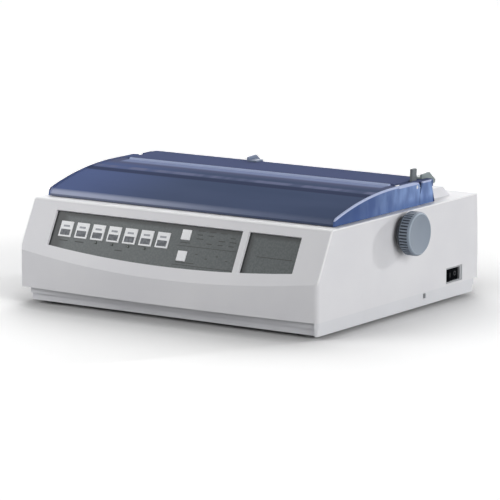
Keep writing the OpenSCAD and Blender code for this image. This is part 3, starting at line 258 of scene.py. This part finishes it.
def smoked_polycarbonate():
    """Polycarbonate tinted smoky blue, with its light painted in: dark over the dark inside, painted
    highlights along every moulded edge, painted shade behind the ridge, and paler at the side walls, where
    the white case shows through from behind. What shows through is drawn into the tone, so the finish itself
    is opaque."""
    # Stretches along y, in millimetres, where what lies under the sheet or its own form changes the tone.
    platen_edge, pale_stripe, dark_stripe = (-24, -6), (-35, -29), (-49, -41)
    bead_front, crest, behind_bead, separator = (-8, 2), (12.6, 15.6), (19.4, 22), (22, 27)
    lip_edge, arc_end, rear_end = (-114.5, -118.5), (8, 12), (81.5, 83)
    material, tree, shader, place = new_finish("polycarbonate moulded tinted smoky blue", 0.5)
    shader.inputs["Specular IOR Level"].default_value = 0.0
    x, y, z = millimetres(tree, place)
    across = math_node(tree, "ABSOLUTE", x)
    cloud = grain(tree, place, 70, 3.0, (0.35, 1, 1))
    tone = two_tone(tree, cloud, "54607D", "5B6785")
    # Painted reflection: the left end of the sheet is drawn lighter and bluer.
    tone = blend(tree, ramp(tree, x, -20, -190, 0.0, 0.8), tone, "6877A6")
    # Painted light: in front of the ridge, the platen, the bail and the ribs under the sheet are drawn as
    # long soft stripes, a paler band, a broken painted highlight and a band of painted shade.
    tone = blend(tree, ramp(tree, y, *platen_edge, 0.0, 0.9), tone, "6B718E")
    broken = ramp(tree, grain(tree, place, 30, 2.0, (1, 0.02, 0.02)), 0.40, 0.56, 0.25, 1.0)
    pale = math_node(tree, "MULTIPLY", band(tree, y, *pale_stripe, 4.0), broken)
    tone = blend(tree, pale, tone, "7B82A1")
    dark = math_node(tree, "MULTIPLY", band(tree, y, *dark_stripe, 4.0), 0.85)
    tone = blend(tree, dark, tone, "474E68")
    # Painted highlight on the bead of the ridge, brightest along its crest, and painted shade just behind it.
    on_ridge = ramp(tree, across, RIDGE_HALF + 1, RIDGE_HALF, 0.0, 1.0)
    bead = math_node(tree, "MULTIPLY", ramp(tree, y, *bead_front), on_ridge)
    tone = blend(tree, bead, tone, "939FC4")
    bright = math_node(tree, "MULTIPLY", band(tree, y, *crest, 1.4), on_ridge)
    tone = blend(tree, bright, tone, "B4C0E0")
    shaded = math_node(tree, "MULTIPLY", band(tree, y, *behind_bead, 1.0), on_ridge)
    tone = blend(tree, shaded, tone, "363D55")
    # The paper separator behind it is a plain sheet.
    tone = blend(tree, ramp(tree, y, *separator), tone, "646D91")
    # Front lip: a painted highlight where it turns down onto the white case, fading to the right, and a
    # painted shadow along its lowest edge.
    lip = math_node(tree, "MULTIPLY", ramp(tree, y, *lip_edge), ramp(tree, x, 150, -190, 0.1, 0.85))
    tone = blend(tree, lip, tone, "BCC3DA")
    tone = blend(tree, ramp(tree, z, 119.6, 118.4, 0.0, 0.7), tone, "3A4258")
    # Side walls, painted with the light that the white case behind them sends through: lighter to the rear,
    # cloudy, and a mid blue low down.
    wall = ramp(tree, across, COVER_HALF - 2.3, COVER_HALF - 1.9)
    rearward = ramp(tree, y, -100, 62)
    wall_light_seen_through = blend(tree, rearward, "526592", "93ACDC")
    streaks = grain(tree, place, 14, 4.0, (1, 1, 0.35))
    wall_light_seen_through = blend(tree, ramp(tree, streaks, 0.36, 0.66, 0.0, 0.6), wall_light_seen_through, "4A5D90")
    low_light = math_node(tree, "MULTIPLY", ramp(tree, z, 128, 119), ramp(tree, y, -40, 40, 0.2, 0.8))
    wall_light_seen_through = blend(tree, low_light, wall_light_seen_through, "5E76A8")
    tone = blend(tree, wall, tone, wall_light_seen_through)
    # The cut top edge of each side wall is seen edge on from end to end: a painted highlight on the right,
    # where the light falls along it, and painted shade on the left.
    radius = radius_about(tree, y, z, COVER_ARC_Y, COVER_TOP - COVER_ARC_R)
    on_arc = math_node(tree, "MULTIPLY", ramp(tree, radius, COVER_ARC_R - 2.4, COVER_ARC_R - 1.6),
                       ramp(tree, y, *reversed(arc_end)))
    level = math_node(tree, "MULTIPLY", ramp(tree, z, 140.2, 140.9), ramp(tree, y, *arc_end))
    edge = math_node(tree, "MULTIPLY", wall, math_node(tree, "MAXIMUM", on_arc, level))
    tone = blend(tree, edge, tone, blend(tree, ramp(tree, x, -1, 1), "3C496E", "C3CEEE"))
    # The rear end of the side walls is seen edge on, through more of the tint.
    tone = blend(tree, math_node(tree, "MULTIPLY", wall, ramp(tree, y, *rear_end)), tone, "2E3C66")
    tree.links.new(tone, shader.inputs["Base Color"])
    bump(tree, shader, grain(tree, place, 40, 1.0), 0.05, 0.3)
    return material


def moulded_case(name, low_hex, high_hex, highlight_hex):
    """ABS moulded in one shot, with a fine spark-eroded grit. A painted highlight lies as a light line along
    the rounded edges at the top of each side, down the ends of the slope and along the slope's top."""
    material = moulded_plastic(name, low_hex, high_hex, 0.5)
    tree = material.node_tree
    x, y, z = own_millimetres(tree)
    # Painted highlight along the case's rounded edges and along the strip in front of the cover.
    outer = ramp(tree, math_node(tree, "ABSOLUTE", x), CASE_HALF_W - 1.8, CASE_HALF_W - 0.6)
    top = ramp(tree, z, CASE_TOP - 2.2, CASE_TOP - 0.8)
    before_slope = math_node(tree, "SUBTRACT", y, math_node(tree, "MULTIPLY", z, FRONT_LEAN))
    front = ramp(tree, before_slope, -194.0, -196.6)
    edges = math_node(tree, "MULTIPLY", outer, math_node(tree, "MAXIMUM", top, front))
    strip = math_node(tree, "MULTIPLY", top, ramp(tree, y, -120, -123))
    retint(tree, math_node(tree, "MAXIMUM", edges, strip), highlight_hex)
    return material


def knob_plastic():
    """ABS moulded blue grey. Painted shade darkens the grooves of the grip and the collar, and a painted
    highlight lightens the edge round the face."""
    material = moulded_plastic("ABS moulded blue grey knob", "818C9A", "8A95A3", 0.5)
    tree = material.node_tree
    x, y, z = own_millimetres(tree)
    radius = radius_about(tree, y, z, PLATEN_Y, PLATEN_Z)
    # Painted shade in the grooves and on the collar.
    before_face = ramp(tree, x, KNOB_IN + 15.4, KNOB_IN + 14.8)
    retint(tree, math_node(tree, "MULTIPLY", ramp(tree, radius, 24.2, 23.3), before_face), "3A4149")
    # Painted highlight on the edge round the face.
    at_face = ramp(tree, x, KNOB_IN + 16.2, KNOB_IN + 16.8)
    retint(tree, math_node(tree, "MULTIPLY", ramp(tree, radius, 21.6, 22.0), at_face), "A9B6C4")
    return material


def printed_film():
    """Polycarbonate film, second-surface printed grey: a fine satin face, with painted shade under the upper
    and left edges of the windows, where the bezel stands over it, and painted light that falls off from left
    to right."""
    material, tree, shader, place = new_finish("polycarbonate film overlay grey", 0.4)
    shader.inputs["Specular IOR Level"].default_value = 0.35
    x, _, z = millimetres(tree, place)
    # Painted light: the film is drawn lighter at the left and darker to the right.
    tone = blend(tree, ramp(tree, x, -170, 160), "525859", "3E4546")
    tone = blend(tree, ramp(tree, grain(tree, place, 2.2), 0.35, 0.7, 0.0, 0.18), tone, "7B8284")
    # Painted shade under the top and left edges of each window, and along the left edge of the right-hand
    # window.
    upper = ramp(tree, z, WINDOW_TOP_Z - 8.0, WINDOW_TOP_Z - 3.4)
    left = math_node(tree, "MAXIMUM", ramp(tree, x, -142, -155), band(tree, x, 90, 100, 6))
    shade = math_node(tree, "MAXIMUM", upper, left)
    tone = blend(tree, math_node(tree, "MULTIPLY", shade, 0.85), tone, "14181A")
    tree.links.new(tone, shader.inputs["Base Color"])
    bump(tree, shader, grain(tree, place, 1.6), 0.008, 0.5)
    return material


case_abs = moulded_case("ABS moulded light grey case", "E2E2E6", "E7E7EA", "FAFAFC")
base_abs = moulded_plastic("ABS moulded light grey base", "DCDDE1", "E2E3E7", 0.52)
overlay_film = printed_film()
key_abs = moulded_plastic("ABS moulded key caps white", "EDEEF1", "F2F3F5", 0.4)
key_ink = moulded_plastic("screen printed grey ink", "45494F", "6E7278", 0.55, 1.0, 0.005, drift_mm=3)
faint_ink = moulded_plastic("screen printed pale grey ink", "94989E", "A4A8AE", 0.55, 1.0, 0.005, drift_mm=3)
line_ink = moulded_plastic("screen printed black ink", "121415", "1C1F20", 0.55, 1.0, 0.005, drift_mm=5)
light_lens = moulded_plastic("polycarbonate moulded dark green lens", "15201A", "1B2A21", 0.15, 3.0, 0.002,
                             0.4)
mark_ink = moulded_plastic("pad printed grey ink", "34363A", "3C3E42", 0.5, 1.0, 0.005)
tinted_cover = smoked_polycarbonate()
guide_abs = moulded_plastic("ABS moulded blue grey guides", "6C7890", "76839C", 0.48)
right_guide_abs = moulded_plastic("ABS moulded grey green guide", "7B8788", "879394", 0.48)
lever_abs = moulded_plastic("ABS moulded slate lever", "5E6468", "6D7478", 0.48, drift_mm=6)
knob_abs = knob_plastic()
black_abs = moulded_plastic("ABS moulded black", "1E1F22", "26272B", 0.45)
rocker_gloss = moulded_plastic("polyamide moulded satin black", "0B0C0E", "121316", 0.4, 4.0, 0.004)
rocker_gloss.node_tree.nodes["Principled BSDF"].inputs["Specular IOR Level"].default_value = 0.0
housing_abs = moulded_plastic("ABS moulded grey switch bezel", "9EA0A4", "A9ABAF", 0.5)
nylon_dark = moulded_plastic("nylon moulded charcoal", "2C2F35", "34373E", 0.5)
acetal = moulded_plastic("acetal moulded ivory", "E4E1D4", "ECE9DE", 0.35, 2.0, 0.01)
teal_abs = moulded_plastic("ABS moulded teal", "2E6A73", "35747D", 0.4)
zinc_sheet = rolled_metal("steel sheet zinc plated", "A9ADB2", "BDC1C6", 0.34)
ground_rod = rolled_metal("steel rod ground", "BFC2C6", "D2D4D8", 0.2, 2.0, (0.05, 1, 1), 0.004)
turned_brass = rolled_metal("brass turned", "C39A4E", "D6AF63", 0.28, 1.5, (1, 1, 1))
cast_alloy = rolled_metal("aluminium die cast", "9A9DA1", "A9ACB0", 0.5, 2.0, (1, 1, 1), 0.03)
motor_steel = rolled_metal("steel motor can grey", "7C7F84", "8B8E93", 0.42, 4.0, (1, 1, 1))
platen_rubber = rubber("rubber ground black", "1D1D1F", "262628", 0.75)
foot_rubber = rubber("rubber moulded dark grey", "2F3033", "393A3D", 0.85)
board_green = moulded_plastic("glass epoxy board green mask", "1F4A2C", "275736", 0.35, 2.5, 0.03, 0.2)

FINISHES = {
    case_abs: ["upper_case"], base_abs: ["lower_case"], foot_rubber: ["rubber_feet"],
    zinc_sheet: ["case_screws", "chassis_plate", "side_frame_left", "side_frame_right", "parallel_port"],
    overlay_film: ["control_panel", "name_panel"], board_green: ["panel_board", "main_board"],
    ground_rod: ["carriage_shaft", "tractor_rod", "platen_shaft", "tractor_shaft", "paper_bail"],
    acetal: ["space_rack", "platen_bushes", "platen_gear", "line_feed_gear", "tractor_idle_gear",
             "tractor_wheel_left", "tractor_wheel_right"],
    nylon_dark: ["paper_chute", "tractor_frame_left", "tractor_frame_right", "tractor_door_left",
                 "tractor_door_right", "carriage_frame"],
    motor_steel: ["line_feed_motor", "transformer", "space_motor"],
    black_abs: ["power_inlet", "ribbon_cartridge"], housing_abs: ["switch_housing"],
    rocker_gloss: ["power_rocker"], tinted_cover: ["access_cover", "paper_separator"],
    guide_abs: ["paper_guide_left"], right_guide_abs: ["paper_guide_right"],
    platen_rubber: ["platen", "bail_rollers"], knob_abs: ["platen_knob"],
    turned_brass: ["motor_pinion", "space_pinion"], lever_abs: ["paper_release_lever"],
    teal_abs: ["head_gap_lever", "ribbon_knob"], cast_alloy: ["print_head"],
    key_abs: [f"key_{i}" for i in range(1, 8)] + ["small_key_1", "small_key_2"],
}
for finish, names in FINISHES.items():
    for name in names:
        NODES[name].data.materials.clear()
        NODES[name].data.materials.append(finish)


# ---------- modelling helpers ----------

def start_block(name, low, high, finish):
    """A block between two corners in millimetres from the middle of the case, ready to be shaped."""
    bpy.ops.object.select_all(action="DESELECT")
    middle = [(a + b) / 2 * MM for a, b in zip(low, high)]
    size = [(b - a) * MM for a, b in zip(low, high)]
    bpy.ops.mesh.primitive_cube_add(size=1, location=middle, scale=size)
    piece = bpy.context.object
    piece.name = name
    piece.data.materials.append(finish)
    bpy.ops.object.transform_apply(location=True, rotation=True, scale=True)
    return piece


def soften(piece, width_mm, segments=2):
    """Bevels every edge of a piece in edit mode."""
    bpy.context.view_layer.objects.active = piece
    bpy.ops.object.mode_set(mode="EDIT")
    bpy.ops.mesh.select_all(action="SELECT")
    bpy.ops.mesh.bevel(offset=width_mm * MM, segments=segments, affect="EDGES")
    bpy.ops.object.mode_set(mode="OBJECT")
    bpy.ops.object.shade_smooth_by_angle(angle=math.radians(40))


def onto_slope(piece):
    """Carries a piece drawn flat (x across, y up the slope, z out) onto the sloped face."""
    piece.data.transform(Matrix.Translation(SLOPE_TOP) @ Matrix.Rotation(SLOPE_TILT, 4, "X"))
    return piece


def into_frame(piece):
    """Moves a piece drawn from the middle of the case into the printer's frame."""
    piece.data.transform(Matrix.Translation(CASE_MID))
    return piece


def raised_mark(low, high, finish, name="mark"):
    """A thin printed bar between two corners, with its edges taken off."""
    bar = start_block(name, low, high, finish)
    soften(bar, 0.04, 1)
    return bar


def join(name, pieces):
    """Joins pieces of one finish into one."""
    bpy.ops.object.select_all(action="DESELECT")
    for piece in pieces:
        piece.select_set(True)
    bpy.context.view_layer.objects.active = pieces[0]
    bpy.ops.object.join()
    joined = bpy.context.object
    joined.name = name
    joined.data.name = name
    return joined


def place_piece(piece, body):
    """Gives a finished piece the body that it moves with."""
    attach(piece, body)


# ---------- key and panel printing ----------

def print_on_keys():
    """Each large key has a grey field on its lower half and a faint line above it."""
    # Half width, lower and upper edge from the key's middle, thickness and ink of each mark.
    marks = {"field": (6.4, -7.2, -0.4, 0.12, key_ink), "line": (4.2, 2.4, 4.6, 0.1, faint_ink)}
    for index in range(KEY_COUNT):
        key = f"key_{index + 1}"
        x = KEY_FIRST + KEY_PITCH * index
        for name, (half, lower, upper, thick, ink) in marks.items():
            mark = raised_mark((x - half, lower - KEY_DOWN, KEY_PROUD),
                               (x + half, upper - KEY_DOWN, KEY_PROUD + thick), ink, f"{key}_{name}")
            place_piece(onto_slope(mark), key)


def print_on_panel():
    """Thin rules and short bars beside the keys, which stand for a table of settings."""
    bars = []

    def bar(x0, x1, down, wide):
        bars.append(raised_mark((x0, -down - wide / 2, PLATE_OUT),
                                (x1, -down + wide / 2, PLATE_OUT + PRINT_THICK), line_ink))

    # Rules between the groups, four columns of short bars, four dots, and captions under keys.
    for down in (35.4, 57.4):
        bar(6, 85, down, 0.7)
    for column in range(4):
        for row in range(4):
            if (column + row) % 4 != 3:
                bar(29 + column * 14.5, 38 + column * 14.5 - 2 * (row % 2), 16.5 + row * 4.6, 1.2)
    for column in range(4):
        bar(33 + column * 13.5, 36 + column * 13.5, 43.5 + 4 * (column % 2), 1.2)
    for x in (KEY_FIRST, KEY_FIRST + KEY_PITCH):
        bar(x - 6, x + 6, 45.2, 1.2)
    fourth_key = KEY_FIRST + 3 * KEY_PITCH
    bar(fourth_key + 6, fourth_key + 16, 49.6, 1.2)
    bar(9, 22, 31.6, 1.1)
    bar(9, 34, 54.4, 1.1)
    lines = join("panel_lines", bars)
    place_piece(onto_slope(lines), "printer")
    rule = raised_mark((112, -38.4, PLATE_OUT), (158, -37.5, PLATE_OUT + PRINT_THICK), line_ink,
                       "name_panel_rule")
    place_piece(onto_slope(rule), "printer")


def indicator_lights():
    """Four domed lenses under keys three to six."""
    for index in LIT_KEYS:
        x = KEY_FIRST + KEY_PITCH * index + LIGHT_SHIFT
        bpy.ops.object.select_all(action="DESELECT")
        bpy.ops.mesh.primitive_uv_sphere_add(segments=24, ring_count=12, radius=LIGHT_R * MM)
        lens = bpy.context.object
        lens.name = f"light_lens_{index - 1}"
        lens.data.materials.append(light_lens)
        bpy.ops.object.mode_set(mode="EDIT")
        bpy.ops.mesh.select_all(action="SELECT")
        bpy.ops.mesh.bisect(plane_co=(0, 0, 0.1 * MM), plane_no=(0, 0, 1), use_fill=True, clear_inner=True)
        bpy.ops.mesh.select_all(action="SELECT")
        bpy.ops.transform.resize(value=(1, 1, 0.5))
        bpy.ops.object.mode_set(mode="OBJECT")
        bpy.ops.object.shade_smooth_by_angle(angle=math.radians(40))
        lens.data.transform(Matrix.Translation(Vector((x, -LIGHT_DOWN, PLATE_OUT)) * MM))
        place_piece(onto_slope(lens), "printer")


# ---------- power switch marks ----------

def ring_mark():
    """A flat printed ring, drawn across x."""
    bpy.ops.object.select_all(action="DESELECT")
    bpy.ops.mesh.primitive_torus_add(major_radius=2.2 * MM, minor_radius=0.4 * MM, major_segments=40,
                                     minor_segments=8, rotation=(0, math.pi / 2, 0))
    mark = bpy.context.object
    mark.name = "rocker_off_mark"
    mark.data.materials.append(mark_ink)
    bpy.ops.object.transform_apply(location=True, rotation=True, scale=True)
    bpy.ops.object.mode_set(mode="EDIT")
    bpy.ops.mesh.select_all(action="SELECT")
    bpy.ops.transform.resize(value=(0.3, 1, 1))
    bpy.ops.object.mode_set(mode="OBJECT")
    bpy.ops.object.shade_smooth_by_angle(angle=math.radians(50))
    return mark


def rocker_marks():
    """The upright bar and the ring that say on and off, one on each face of the rocker."""
    bar = raised_mark((-0.12, -0.55, -2.6), (0.12, 0.55, 2.6), mark_ink, "rocker_on_mark")
    pin = Matrix.Translation(Vector(ROCKER_PIN) * MM) @ Matrix.Rotation(ROCKER_TIP, 4, "Z")
    for mark, side in ((bar, -1), (ring_mark(), 1)):
        surface = Vector((ROCKER_FACE_X + MARK_OUT * math.tan(ROCKER_LEAN), side * MARK_OUT, 0)) * MM
        mark.data.transform(pin @ Matrix.Translation(surface) @ Matrix.Rotation(-side * ROCKER_LEAN, 4, "Z"))
        place_piece(into_frame(mark), "power_rocker")


# ---------- rear connectors ----------

def port_contacts():
    """Two rows of spring contacts on the tongue of the parallel port."""
    contacts = []
    for side in (-1, 1):
        z = PORT_Z + side * TONGUE_HALF
        for index in range(CONTACT_ROW):
            x = PORT_X + (index - (CONTACT_ROW - 1) / 2) * CONTACT_PITCH
            contacts.append(start_block("contact", (x - 0.6, CONTACT_START_Y, z - 0.12),
                                        (x + 0.6, CONTACT_END_Y, z + 0.12), turned_brass))
    strip = join("port_contacts", contacts)
    soften(strip, 0.05, 1)
    place_piece(into_frame(strip), "printer")


def port_screws():
    """A round head screw at each end of the port's flange."""
    sunk = 0.3      # the head's middle lies this far inside the flange's face
    for index, x in enumerate((PORT_X - PORT_SCREW_OUT, PORT_X + PORT_SCREW_OUT)):
        bpy.ops.object.select_all(action="DESELECT")
        bpy.ops.mesh.primitive_cylinder_add(vertices=32, radius=2.1 * MM, depth=1.4 * MM,
                                            rotation=(math.pi / 2, 0, 0),
                                            location=Vector((x, PORT_FACE_Y - sunk, PORT_Z)) * MM)
        screw = bpy.context.object
        screw.name = f"port_screw_{index + 1}"
        screw.data.materials.append(zinc_sheet)
        bpy.ops.object.transform_apply(location=True, rotation=True, scale=True)
        soften(screw, 0.35, 2)
        place_piece(into_frame(screw), "printer")


# ---------- platen knob ----------

def select_faces(piece, wanted):
    """Selects the faces that pass a test on their middle and normal, and leaves edit mode on."""
    bpy.context.view_layer.objects.active = piece
    bpy.ops.object.mode_set(mode="EDIT")
    bpy.ops.mesh.select_mode(type="FACE")
    bpy.ops.mesh.select_all(action="DESELECT")
    bpy.ops.object.mode_set(mode="OBJECT")
    for face in piece.data.polygons:
        face.select = wanted(face.center, face.normal)
    bpy.ops.object.mode_set(mode="EDIT")


def turned(name, rings, sides, finish):
    """A turned piece along x: a disc carried through rings of (x, radius) in millimetres."""
    bpy.ops.object.select_all(action="DESELECT")
    bpy.ops.mesh.primitive_circle_add(vertices=sides, radius=rings[0][1] * MM, fill_type="NGON",
                                      rotation=(0, math.pi / 2, 0), location=(rings[0][0] * MM, 0, 0))
    piece = bpy.context.object
    piece.name = name
    piece.data.materials.append(finish)
    bpy.ops.object.transform_apply(location=True, rotation=True, scale=True)
    bpy.ops.object.mode_set(mode="EDIT")
    bpy.ops.mesh.select_all(action="SELECT")
    for (x0, r0), (x1, r1) in zip(rings, rings[1:]):
        bpy.ops.mesh.extrude_region_move(TRANSFORM_OT_translate={"value": ((x1 - x0) * MM, 0, 0)})
        bpy.ops.transform.resize(value=(1, r1 / r0, r1 / r0))
    bpy.ops.mesh.select_all(action="SELECT")
    bpy.ops.mesh.normals_make_consistent(inside=False)
    bpy.ops.object.mode_set(mode="OBJECT")
    return piece


def platen_knob():
    """The hand knob: a smooth collar at the case, a ribbed grip, and a plain face inside a chamfer."""
    start = KNOB_IN
    collar = [(start, 20.8), (start + 3.4, 21.2), (start + 3.8, 23.2), (start + 4.6, 24.4)]
    grip = [(start + 14.6, 24.4), (start + 15.8, 23.9)]
    face = [(start + 17.4, 22.2), (start + 17.4, 21.6), (start + 17.1, 20.9)]
    per_rib = 4     # facets to each rib and groove, of which the first two are the groove
    knob = turned("platen_knob_grip", collar + grip + face, KNOB_RIBS * per_rib, knob_abs)

    def groove(middle, normal):
        if abs(normal.x) > 0.2 or not start + 5 < middle.x / MM < start + 14.4:
            return False
        facet = math.atan2(middle.z, middle.y) / (2 * math.pi) * KNOB_RIBS * per_rib
        return math.floor(facet) % per_rib < 2

    select_faces(knob, groove)
    bpy.ops.mesh.inset(thickness=0.25 * MM, depth=-1.3 * MM)
    bpy.ops.object.mode_set(mode="OBJECT")
    bpy.ops.object.shade_smooth_by_angle(angle=math.radians(30))
    knob.data.transform(Matrix.Translation(Vector((0, PLATEN_Y, PLATEN_Z)) * MM))
    into_frame(knob)
    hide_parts("platen_knob")
    place_piece(knob, "platen")


print_on_keys()
platen_knob()
print_on_panel()
indicator_lights()
rocker_marks()
port_contacts()
port_screws()


# ---------- stage, lights and camera ----------

def build_stage():
    """A floor that is white to the camera away from the printer and keeps its shadow, deepest where it
    stands. A painted shadow also darkens its colour near the printer, less so on the right, where the side
    lamp reaches in under the case."""
    seen_gain = 0.5     # added to the floor's brightness as the camera sees it, so that it reaches white
    bpy.ops.object.select_all(action="DESELECT")
    bpy.ops.mesh.primitive_plane_add(size=30)
    floor = bpy.context.object
    floor.name = "floor"
    paper = bpy.data.materials.new("seamless paper white")
    paper.use_nodes = True
    tree = paper.node_tree
    tree.nodes.remove(tree.nodes["Principled BSDF"])
    # Painted shadow: the floor's colour darkens with nearness to the printer.
    nearness = add_node(tree, "ShaderNodeAmbientOcclusion", {"samples": 12}, {"Distance": 0.4})
    shade = add_node(tree, "ShaderNodeMapRange", inputs={
        "Value": nearness.outputs["AO"], "From Min": 0.58, "From Max": 0.98, "To Min": 0.4, "To Max": 1.0})
    place = add_node(tree, "ShaderNodeTexCoord").outputs["Object"]
    sideways = add_node(tree, "ShaderNodeSeparateXYZ", inputs={"Vector": place}).outputs["X"]
    kept = ramp(tree, sideways, 0.15, 0.24, 1.0, 0.45)
    level = add_node(tree, "ShaderNodeMapRange", inputs={
        "Value": kept, "To Min": 1.0, "To Max": shade.outputs["Result"]})
    tone = add_node(tree, "ShaderNodeCombineColor", inputs={
        key: level.outputs["Result"] for key in ("Red", "Green", "Blue")})
    plain = add_node(tree, "ShaderNodeBsdfDiffuse", inputs={"Color": tone.outputs["Color"]})
    extra = add_node(tree, "ShaderNodeMixShader", inputs={0: seen_gain, 2: plain.outputs[0]})
    seen_floor = add_node(tree, "ShaderNodeAddShader", inputs={0: plain.outputs[0], 1: extra.outputs[0]})
    # To the light that bounces off it, the floor is a plain grey, so it doesn't flood the printer from below.
    dull = add_node(tree, "ShaderNodeBsdfDiffuse", inputs={"Color": linear("BCBCBC")})
    chosen = add_node(tree, "ShaderNodeMixShader", inputs={
        0: seen_rays(tree), 1: dull.outputs[0], 2: seen_floor.outputs[0]})
    tree.links.new(chosen.outputs[0], tree.nodes["Material Output"].inputs["Surface"])
    floor.data.materials.append(paper)


def build_world():
    """White to the camera, in reflections and through clear plastic, and only a faint light by itself."""
    world = bpy.data.worlds.new("studio")
    bpy.context.scene.world = world
    world.use_nodes = True
    tree = world.node_tree
    level = add_node(tree, "ShaderNodeMapRange", inputs={
        "Value": seen_rays(tree), "To Min": 0.05, "To Max": 1.0})
    back = tree.nodes["Background"]
    back.inputs["Color"].default_value = (1, 1, 1, 1)
    tree.links.new(level.outputs["Result"], back.inputs["Strength"])


def soft_sun(name, direction, angle, strength):
    """Even light from one direction; the wider the angle, the softer its shadows."""
    bpy.ops.object.light_add(type="SUN", rotation=Vector(direction).to_track_quat("Z", "Y").to_euler())
    lamp = bpy.context.object
    lamp.name = name
    lamp.data.angle = math.radians(angle)
    lamp.data.energy = strength


def area_lamp(name, place, size, power):
    """A square soft box that faces the printer."""
    aim = Vector((0, 0, 0.07)) - Vector(place)
    bpy.ops.object.light_add(type="AREA", location=place, rotation=aim.to_track_quat("-Z", "Y").to_euler())
    lamp = bpy.context.object
    lamp.name = name
    lamp.data.shape = "SQUARE"
    lamp.data.size = size
    lamp.data.energy = power


def build_camera():
    """A long lens, level across, aimed at the middle of the case."""
    azimuth, elevation = math.radians(VIEW_AZIMUTH), math.radians(VIEW_ELEVATION)
    look = Vector((-math.sin(azimuth) * math.cos(elevation), math.cos(azimuth) * math.cos(elevation),
                   -math.sin(elevation)))
    right = Vector((math.cos(azimuth), math.sin(azimuth), 0))
    up = right.cross(look)
    place = VIEW_TARGET - look * VIEW_DISTANCE + right * VIEW_RIGHT + up * VIEW_UP
    bpy.ops.object.camera_add(location=place, rotation=(math.pi / 2 - elevation, 0, azimuth))
    camera = bpy.context.object
    camera.data.lens = VIEW_LENS
    camera.data.sensor_width = 36
    camera.data.clip_start = 0.1
    bpy.context.scene.camera = camera


build_stage()
build_world()
soft_sun("rear", (-0.25, 0.75, 0.6), 50, 0.84)
soft_sun("rear_left", (-0.55, 0.65, 0.5), 50, 0.8)
soft_sun("right_side", (0.95, -0.2, 0.25), 40, 1.86)
soft_sun("front_left", (-0.6, -0.75, 0.3), 40, 0.5)
soft_sun("front_high", (-0.45, -0.6, 0.65), 40, 0.4)
soft_sun("rear_right_key", (0.45, 0.86, 0.25), 4, 0.72)
area_lamp("near_left", (-0.68, -0.65, 0.46), 0.4, 1.4)
build_camera()
bpy.context.scene.view_settings.view_transform = "Standard"
